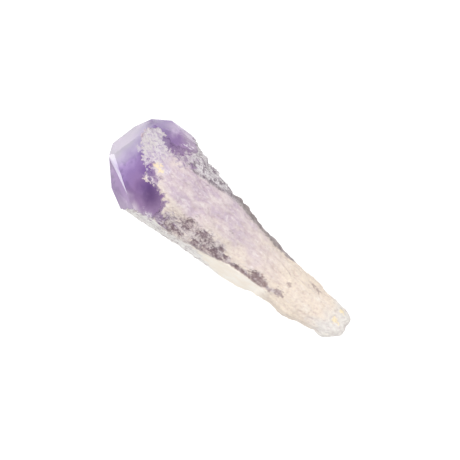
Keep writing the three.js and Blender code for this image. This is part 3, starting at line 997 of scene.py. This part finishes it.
# %% Clouds of colour in the head
# Deep purple beside the crust, and paler towards the head's own borders.
CLOUDS = [
    {"middle": (29.3, 5.0), "reach": 6.0, "share": 0.8, "colour": "#4d2e70"},
    {"middle": (26.6, 6.6), "reach": 4.5, "share": 0.7, "colour": "#523268"},
    {"middle": (33.4, 1.6), "reach": 3.5, "share": 0.6, "colour": "#5f3f88"},
    {"middle": (32.8, -11.2), "reach": 4.4, "share": 0.6, "colour": "#6d4a8c"},
    {"middle": (42.5, -10.8), "reach": 2.4, "share": 0.7, "colour": "#7d6198"},
    {"middle": (40.2, -11.2), "reach": 2.4, "share": 0.6, "colour": "#8a6ea4"},
    {"middle": (36.0, -15.6), "reach": 4.5, "share": 0.8, "colour": "#d2c0db"},
    {"middle": (30.0, -15.4), "reach": 3.8, "share": 0.85, "colour": "#bdadbf"},
    {"middle": (26.8, -13.8), "reach": 2.8, "share": 0.8, "colour": "#b5a6b6"},
    {"middle": (32.6, 11.9), "reach": 2.8, "share": 0.55, "colour": "#c3b2cb"},
    {"middle": (40.6, -1.2), "reach": 2.4, "share": 0.5, "colour": "#d6cae6"},
    {"middle": (24.0, 13.5), "reach": 4.5, "share": 0.8, "colour": "#c9bccd"},
    {"middle": (32.4, 15.2), "reach": 3.2, "share": 0.85, "colour": "#ddd1dd"},
    {"middle": (29.2, 14.0), "reach": 3.4, "share": 0.8, "colour": "#dacdd9"},
]


def round_share(middle, reach, share):
    """A soft round of the head, 0 at its reach and at most its share, by shader nodes."""
    x, y = middle
    away = add_node(
        tree,
        "ShaderNodeVectorMath",
        {"operation": "DISTANCE", 1: (x * MM, y * MM, 0.0)},
        {0: swirled},
    ).outputs["Value"]
    span = {"interpolation_type": "SMOOTHSTEP", "From Min": reach * MM, "From Max": 0.0, "To Max": share}
    return add_node(tree, "ShaderNodeMapRange", span, {"Value": away}).outputs["Result"]


for cloud in CLOUDS:
    share = round_share(cloud["middle"], cloud["reach"], cloud["share"])
    glass = add_node(
        tree, "ShaderNodeMix", {"data_type": "RGBA", 7: linear(cloud["colour"])}, {0: share, 6: glass}
    ).outputs[2]
print("clouds:", len(CLOUDS))

# %% Purple that shows through the thin crust beside the grown faces
THINNED = {"fringe": 0.29, "stained": 0.1, "tongue": 0.06, "bare": 0.36}
HOLED = {"From Min": 0.70, "From Max": 0.77, "To Max": 0.85}

holes = pattern["flecks"]
for name, share in THINNED.items():
    holes = add_node(
        tree, "ShaderNodeMath", {"operation": "MULTIPLY_ADD", 1: share}, {0: mask[name], 2: holes}
    ).outputs[0]
holes = add_node(tree, "ShaderNodeMapRange", HOLED, {"Value": holes}).outputs["Result"]
crust = add_node(tree, "ShaderNodeMix", {"data_type": "RGBA"}, {0: holes, 6: crust, 7: glass}).outputs[2]
print("nodes so far:", len(tree.nodes))

# %% Specks of crust that sit on the grown faces
SPECKLED = [
    {"middle": (28.5, -12.5), "reach": 6.0, "share": 0.2},
    {"middle": (33.2, 1.2), "reach": 3.0, "share": 0.26},
    {"middle": (40.0, -2.5), "reach": 4.0, "share": 0.32},
    {"middle": (25.0, 12.0), "reach": 4.5, "share": 0.26},
    {"middle": (31.0, 15.0), "reach": 3.5, "share": 0.26},
]
SPECK = "#e8e2e6"
SPECKING = {"From Min": 0.72, "From Max": 0.80, "To Max": 0.8}

specks = pattern["flecks"]
for place in SPECKLED:
    share = round_share(place["middle"], place["reach"], place["share"])
    specks = add_node(tree, "ShaderNodeMath", {"operation": "ADD"}, {0: specks, 1: share}).outputs[0]
specks = add_node(tree, "ShaderNodeMapRange", SPECKING, {"Value": specks}).outputs["Result"]
glass = add_node(
    tree, "ShaderNodeMix", {"data_type": "RGBA", 7: linear(SPECK)}, {0: specks, 6: glass}
).outputs[2]
print("speckled places:", len(SPECKLED))

# %% Golden specks in the crust
GOLDEN = "#ffecbc"

crust = add_node(
    tree, "ShaderNodeMix", {"data_type": "RGBA", 7: linear(GOLDEN)}, {0: mask["golden"], 6: crust}
).outputs[2]
print("golden specks:", len(GOLD))

# %% The painted highlight on the bevel, and the faces on its left
# The bevel's colour is a painted highlight, pale like the light that it reflects.
BEVEL_HIGHLIGHT = "#c8bed6"
SIDE = "#9a80aa"
SIDE_SHARE = 0.75
HIGHLIGHT_WAY = (0.219, 1.0, 0.0)  # the painted highlight lies on the bevel beyond a slanting line, which lies across this
HIGHLIGHT_SPAN = {"From Min": 16.1 * MM, "From Max": 16.6 * MM}

reached = add_node(
    tree, "ShaderNodeVectorMath", {"operation": "DOT_PRODUCT", 1: HIGHLIGHT_WAY}, {0: spot}
).outputs["Value"]
beyond_line = add_node(
    tree, "ShaderNodeMapRange", HIGHLIGHT_SPAN, {"Value": reached}
).outputs["Result"]
bevel_highlight = add_node(
    tree, "ShaderNodeMath", {"operation": "MULTIPLY"}, {0: mask["bevel"], 1: beyond_line}
).outputs[0]
shady = add_node(
    tree, "ShaderNodeMath", {"operation": "MULTIPLY", 1: SIDE_SHARE}, {0: mask["side"]}
).outputs[0]
# The darker side faces go in first, then the painted highlight on the bevel.
for share, tint in ((shady, SIDE), (bevel_highlight, BEVEL_HIGHLIGHT)):
    glass = add_node(
        tree, "ShaderNodeMix", {"data_type": "RGBA", 7: linear(tint)}, {0: share, 6: glass}
    ).outputs[2]
print("nodes so far:", len(tree.nodes))

# %% How clear a face is, most of all at the tip
CLEAR_TIP = 0.45
CLEAR_DEEP = 0.15
CLEAR_SPAN = {"From Min": 30 * MM, "From Max": 46 * MM, "To Min": CLEAR_DEEP, "To Max": CLEAR_TIP}

face_clear = add_node(
    tree, "ShaderNodeMapRange", CLEAR_SPAN, {"Value": swirled_along}
).outputs["Result"]
# The bevel is less clear, so that its painted highlight shows.
face_clear = add_node(
    tree, "ShaderNodeMix", {3: CLEAR_DEEP}, {0: mask["bevel"], 2: face_clear}
).outputs[0]
clear = add_node(
    tree, "ShaderNodeMix", links={0: mask["grown"], 2: mask["clear"], 3: face_clear}
).outputs[0]
print("nodes so far:", len(tree.nodes))

# %% Choose between crust and glass, and roughen the crust
ROUGHNESS = {"To Min": 0.66, "To Max": 0.14}  # from crust to grown face
SUGAR_BUMP = {"Strength": 0.75, "Distance": 0.3 * MM}

colour = add_node(
    tree, "ShaderNodeMix", {"data_type": "RGBA"}, {0: mask["grown"], 6: crust, 7: glass}
).outputs[2]
roughness = add_node(
    tree, "ShaderNodeMapRange", ROUGHNESS, {"Value": mask["grown"]}
).outputs["Result"]
crust_only = add_node(
    tree, "ShaderNodeMath", {"operation": "SUBTRACT", 0: 1.0}, {1: mask["grown"]}
).outputs[0]
height = add_node(
    tree, "ShaderNodeMath", {"operation": "MULTIPLY"}, {0: pattern["sugar"], 1: crust_only}
).outputs[0]
sugary = add_node(tree, "ShaderNodeBump", SUGAR_BUMP, {"Height": height}).outputs["Normal"]
print("nodes so far:", len(tree.nodes))

# %% Connect the finish, with purple inside the stone
INSIDE = {"Color": linear("#c684d6"), "Density": 45.0}

purple = add_node(tree, "ShaderNodeVolumeAbsorption", INSIDE).outputs["Volume"]
tree.links.new(colour, shader.inputs["Base Color"])
tree.links.new(clear, shader.inputs["Transmission Weight"])
tree.links.new(roughness, shader.inputs["Roughness"])
tree.links.new(sugary, shader.inputs["Normal"])
tree.links.new(purple, tree.nodes["Material Output"].inputs["Volume"])
crystal.data.materials.append(amethyst)
print("nodes in all:", len(tree.nodes), "links:", len(tree.links))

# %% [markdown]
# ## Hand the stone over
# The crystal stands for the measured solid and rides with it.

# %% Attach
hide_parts(CAD_NODE)
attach(crystal, "root")
